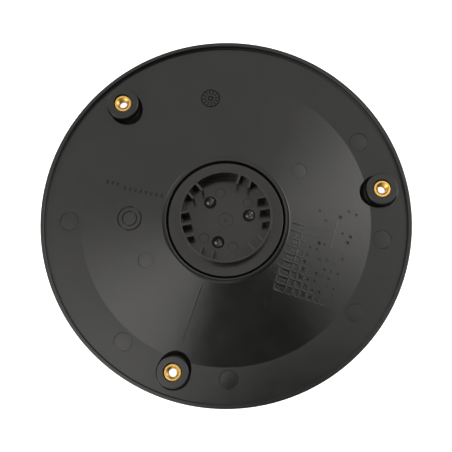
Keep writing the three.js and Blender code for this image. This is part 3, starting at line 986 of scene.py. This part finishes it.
def hub_cup():
    hub = hub_body()
    groups = {0: (-1, 0, 1), 60: (-1, 0), 120: (0, 1), 180: (-1, 0, 1), 240: (-1, 0), 300: (0, 1)}
    ribs = [cup_rib(math.radians(turn), place) for turn, places in groups.items() for place in places]
    add(hub, *ribs)
    third = 2 * math.pi / 3
    wells = []
    stubs = []
    pilots = []
    for k in range(3):
        at = polar(WELL_CIRCLE_R, FIRST_BOSS + third * k)
        stubs.append(placed(stub("lug", 7, FLOOR_Z - 7, 0.8), at))
        wells.append(placed(well(), at))
        at = polar(POST_CIRCLE_R, FIRST_BOSS + third * (k + 0.5))
        stubs.append(placed(stub("post", 5, 8.9, 0.4), at))
        pilots.append(placed(rod("pilot", 2.2, 8, 17, segments=32), at))
    add(hub, *stubs)
    cut(hub, *wells)
    cut(hub, *pilots)
    marks = []
    for degrees in (38, 101, 220, 285):
        marks.append(placed(round_mark(4.0, 0.26), polar(22.8, math.radians(degrees), FLOOR_Z)))
    gate = revolve("centre_mark", [(1.3, -0.3), (5.7, -0.3), (6.0, 0.1), (1.0, 0.1)], SMALL)
    marks.append(placed(gate, (0, 0, FLOOR_Z)))
    cut(hub, *marks)
    return finish_piece(hub, "hub", HUB_PLASTIC, ["hub_cup"])


hub_cup()


def retainer_plate():
    """Steel ring under the inner race, with three countersunk holes."""
    low, high = span("retainer_plate")
    inner, outer = 12, 42.2
    sink_r, hole_r = 4.8, 2.4
    plate = revolve("bearing_keeper_plate", rounded([
        (inner, low, 0.35), (outer, low, 0.5), (outer, high, 0.2), (inner, high, 0.2),
    ]), MEDIUM)
    sinks = []
    for at in centres("hub_screw"):
        sinks.append(placed(revolve("sink", [
            (0, low - 0.5), (sink_r, low - 0.5), (hole_r, high - 0.2), (hole_r, high + 1),
            (0, high + 1),
        ], TINY), at))
    cut(plate, *sinks)
    finish_piece(plate, "hub", PLATE_STEEL, ["retainer_plate"])


def hub_screw(number, at):
    """Countersunk screw, head down: six-lobed socket in the head, coarse thread above."""
    node = f"hub_screw_{number}"
    low, high = span(node)
    head, root, crest, pitch = 3.85, 1.45, 1.9, 0.9
    thread_low, thread_length = low + 2.4, high - low - 3.2
    profile = [(0, low), (head - 0.15, low), (head, low + 0.15), (root, low + 2.2)]
    steps = 60
    for k in range(steps + 1):
        profile.append((root, thread_low + thread_length * k / steps))
    profile += [(0.8, high - 0.2), (0, high)]

    def relief(r, z, angle):
        if abs(r - root) < 0.01 and z > thread_low + 0.1:
            wave = thread_wave(z, angle, pitch)
            return root + (crest - root) * max(0.0, 1 - (1 - wave) * 1.8)
        return r

    screw = revolve(f"keeper_screw_{number}", profile, TINY, relief)
    socket = []
    for k in range(TINY):
        t = 2 * math.pi * k / TINY
        r = 1.35 + 0.2 * math.cos(6 * t)
        socket.append((r * math.cos(t), r * math.sin(t)))
    cut(screw, prism("socket", socket, low - 0.5, low + 1.3))
    placed(screw, at)
    finish_piece(screw, "hub", SCREW_STEEL, [node])


retainer_plate()
for number, spot in enumerate(centres("hub_screw"), 1):
    hub_screw(number, spot)


# ---- Light table and soft light ----------------------------------------------------------------
def light_table():
    """A wide white floor that glows, just under the disc."""
    half, low, high = 8000, -20, -0.6
    floor = prism("floor", [(-half, -half), (half, -half), (half, half), (-half, half)], low, high)
    shader = Shader("light_table")
    material = shader.done(Base_Color=(0.86, 0.86, 0.86, 1), Roughness=0.9,
                           Emission_Color=(1, 1, 1, 1), Emission_Strength=1.0)
    floor.data.materials.append(material)


# Each row: x and y of an ellipse's middle, its half width and half depth, the softness of its edge,
# and how bright the light is, or how much of the light the shade takes away. The places are slopes,
# as on a flat ceiling one unit up.
DIM_LIGHT = 0.10
LIGHTS = (
    (-0.2, 0.2, 1.5, 1.4, 0.45, 0.80),          # the ceiling overhead
    (0.69, 0.30, 0.29, 0.29, 0.95, 5.4),        # right
    (-0.29, -0.115, 0.185, 0.185, 0.95, 1.8),   # left
    (-0.09, 0.015, 0.10, 0.06, 0.6, 0.6),       # nearly overhead
    (-1.25, -0.85, 0.55, 0.45, 0.4, 4.0),       # window on the left, low in front
    (-1.0, 0.95, 0.35, 0.3, 0.4, 3.0),          # left, low at the back
    (-0.1, -1.75, 1.1, 0.6, 0.3, 0.8),          # low in front
    (-1.7, 1.5, 0.9, 0.9, 0.6, 0.7),            # lowest, left at the back
)
HORIZON = (0, 0, 4.5, 4.5, 0.3)                 # the glow begins outside this ellipse
HORIZON_LIGHT = 0.75
SHADES = (
    (0.072, -0.212, 0.19, 0.238, 0.15, 1.0),    # overhead, toward the front
    (0.95, -1.05, 0.85, 0.95, 0.3, 0.9),        # right, low in front
)


def sky():
    """Grey surround lit from high up on the left and the right, dark overhead toward the front."""
    world = bpy.data.worlds.new("surround")
    bpy.context.scene.world = world
    world.use_nodes = True
    tree = world.node_tree
    background = tree.nodes["Background"]

    def combined(operation, *values):
        made = tree.nodes.new("ShaderNodeMath")
        made.operation = operation
        for socket, value in zip(made.inputs, values):
            feed(tree, socket, value)
        return made.outputs[0]

    split = tree.nodes.new("ShaderNodeSeparateXYZ")
    feed(tree, split.inputs[0], tree.nodes.new("ShaderNodeTexCoord").outputs["Generated"])
    rise = combined("MAXIMUM", split.outputs["Z"], 0.03)
    slope_x = combined("DIVIDE", split.outputs["X"], rise)
    slope_y = combined("DIVIDE", split.outputs["Y"], rise)

    def patch(x, y, width, depth, softness):
        """1 inside an ellipse on that ceiling and 0 outside it, with a soft edge."""
        across = combined("DIVIDE", combined("SUBTRACT", slope_x, x), width)
        down = combined("DIVIDE", combined("SUBTRACT", slope_y, y), depth)
        distance = combined("SQRT", combined("ADD", combined("MULTIPLY", across, across),
                                             combined("MULTIPLY", down, down)))
        edge = tree.nodes.new("ShaderNodeMapRange")
        edge.interpolation_type = "SMOOTHSTEP"
        feed(tree, edge.inputs["Value"], distance)
        feed(tree, edge.inputs["From Min"], 1 - softness)
        feed(tree, edge.inputs["From Max"], 1 + softness)
        feed(tree, edge.inputs["To Min"], 1)
        feed(tree, edge.inputs["To Max"], 0)
        return edge.outputs["Result"]

    level = DIM_LIGHT
    for *ellipse, strength in LIGHTS:
        level = combined("ADD", level, combined("MULTIPLY", patch(*ellipse), strength))
    horizon = combined("SUBTRACT", 1.0, patch(*HORIZON))
    level = combined("ADD", level, combined("MULTIPLY", horizon, HORIZON_LIGHT))
    for *ellipse, share in SHADES:
        shade = combined("MULTIPLY", patch(*ellipse), share)
        level = combined("MULTIPLY", level, combined("SUBTRACT", 1.0, shade))
    feed(tree, background.inputs["Strength"], level)
    feed(tree, background.inputs["Color"], (1.0, 0.985, 0.965, 1))


light_table()
sky()
bpy.context.scene.view_settings.view_transform = "Standard"
